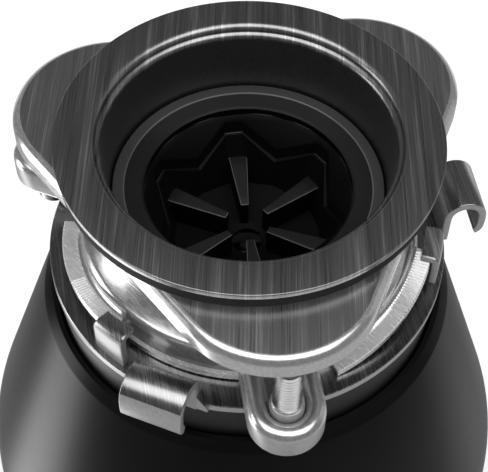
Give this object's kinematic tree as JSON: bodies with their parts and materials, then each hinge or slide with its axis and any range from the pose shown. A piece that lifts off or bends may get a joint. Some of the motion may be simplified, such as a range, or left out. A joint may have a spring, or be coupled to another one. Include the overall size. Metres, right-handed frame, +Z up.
{
  "type": "kitchen garbage disposal",
  "caption": "Kitchen garbage disposal with a bell-shaped body, sink flange with bolted quick-lock mount, splash baffle, grinding turntable, motor and discharge elbow.",
  "frame": {"origin": "on the motor shaft's axis, at the level of the foot of the bottom cover", "axes": "+Z up along the shaft towards the sink, -Y towards the discharge outlet and +Y towards the dishwasher inlet"},
  "size_m": [0.192, 0.2705, 0.318],
  "materials": {
    "brushed_stainless": "brushed, fine straight grain",
    "polished_steel": "polished, slightly wavy pressed sheet",
    "zinc_steel": "bright zinc plate",
    "stainless": "plain stamped stainless",
    "shaft_steel": "ground",
    "core_steel": "stacked laminations",
    "cast_aluminium": "die cast, light sand texture",
    "bronze": "sintered bronze",
    "copper_wire": "enamelled copper wire",
    "black_shell": "satin",
    "black_plastic": "moulded, semi-matte",
    "black_rubber": "soft matt rubber",
    "fiber": "pressed fibre, matt",
    "foam": "felted sound foam",
    "brown_plastic": "phenolic",
    "red_plastic": "moulded",
    "green_screw": "green dyed zinc"
  },
  "bodies": {
    "body": {"container_body": "black_plastic", "mounting_gasket": "black_rubber", "dishwasher_plug": "black_plastic", "shredder_ring": "stainless", "body_gasket": "black_rubber", "container_screws": "zinc_steel", "upper_end_bell": "cast_aluminium", "discharge_gasket": "black_rubber", "discharge_elbow": "black_plastic", "discharge_flange": "zinc_steel", "discharge_screws": "zinc_steel", "outer_shell": "black_shell", "sound_insulation": "foam", "lower_shell": "black_shell", "motor_frame": "zinc_steel", "lower_end_frame": "cast_aluminium", "through_bolts": "zinc_steel", "stator_core": "core_steel", "stator_windings": "copper_wire", "upper_bearing": "bronze", "lower_bearing": "bronze", "shaft_seal": "black_rubber", "bottom_cover": "black_plastic", "cover_screws": "zinc_steel", "terminal_hatch": "zinc_steel", "hatch_screws": "zinc_steel", "ground_screw": "green_screw", "overload_protector": "brown_plastic", "start_relay": "black_plastic"},
    "sink_mount": {"sink_flange": "brushed_stainless", "snap_ring": "zinc_steel", "mounting_ring": "polished_steel"},
    "clamp": {"backup_flange": "brushed_stainless", "fiber_gasket": "fiber"},
    "bolt_1": {"mount_bolt_1": "zinc_steel"},
    "bolt_2": {"mount_bolt_2": "zinc_steel"},
    "bolt_3": {"mount_bolt_3": "zinc_steel"},
    "lock_ring": {"lower_mounting_ring": "polished_steel"},
    "baffle": {"splash_baffle": "black_rubber"},
    "rotor": {"rotor_shaft": "shaft_steel", "rotor_core": "core_steel", "rotor_cage": "cast_aluminium", "turntable": "stainless", "turntable_nut": "stainless", "lug_pins": "stainless"},
    "lug_1": {"swivel_lug_1": "stainless"},
    "lug_2": {"swivel_lug_2": "stainless"},
    "reset": {"reset_button": "red_plastic"}
  },
  "joints": [
    {"name": "quick_lock_turn", "type": "hinge", "parent": "body", "child": "lock_ring", "pos_m": [0, 0, 0.268], "axis": [0, 0, 1], "range_deg": [-50, 0]},
    {"name": "mount_rise", "type": "slide", "parent": "body", "child": "sink_mount", "axis": [0, 0, 1], "range_m": [0, 0.0076]},
    {"name": "clamp_slide", "type": "slide", "parent": "sink_mount", "child": "clamp", "axis": [0, 0, 1], "range_m": [-0.006, 0]},
    {"name": "bolt_turn_1", "type": "hinge", "parent": "clamp", "child": "bolt_1", "pos_m": [0, -0.07, 0.27], "axis": [0, 0, 1], "range_deg": [-1532, 0]},
    {"name": "bolt_turn_2", "type": "hinge", "parent": "clamp", "child": "bolt_2", "pos_m": [0.06062, 0.035, 0.27], "axis": [0, 0, 1], "range_deg": [-1532, 0]},
    {"name": "bolt_turn_3", "type": "hinge", "parent": "clamp", "child": "bolt_3", "pos_m": [-0.06062, 0.035, 0.27], "axis": [0, 0, 1], "range_deg": [-1532, 0]},
    {"name": "baffle_lift", "type": "slide", "parent": "body", "child": "baffle", "axis": [0, 0, 1], "range_m": [0, 0.072]},
    {"name": "rotor_spin", "type": "hinge", "parent": "body", "child": "rotor", "pos_m": [0, 0, 0.17], "axis": [0, 0, 1], "continuous": true},
    {"name": "lug_swivel_1", "type": "hinge", "parent": "rotor", "child": "lug_1", "pos_m": [0.044, 0, 0.178], "axis": [0, 0, 1], "continuous": true},
    {"name": "lug_swivel_2", "type": "hinge", "parent": "rotor", "child": "lug_2", "pos_m": [-0.044, 0, 0.178], "axis": [0, 0, 1], "continuous": true},
    {"name": "reset_press", "type": "slide", "parent": "body", "child": "reset", "axis": [0, 0, 1], "range_m": [0, 0.0025], "stiffness_N_per_m": 400, "springref_m": -0.002}
  ],
  "couplings": [
    {"joint": "mount_rise", "follows": "quick_lock_turn", "m_per_rad": -0.0085944},
    {"joint": "bolt_turn_1", "follows": "clamp_slide", "rad_per_m": 4452.7},
    {"joint": "bolt_turn_2", "follows": "clamp_slide", "rad_per_m": 4452.7},
    {"joint": "bolt_turn_3", "follows": "clamp_slide", "rad_per_m": 4452.7}
  ]
}
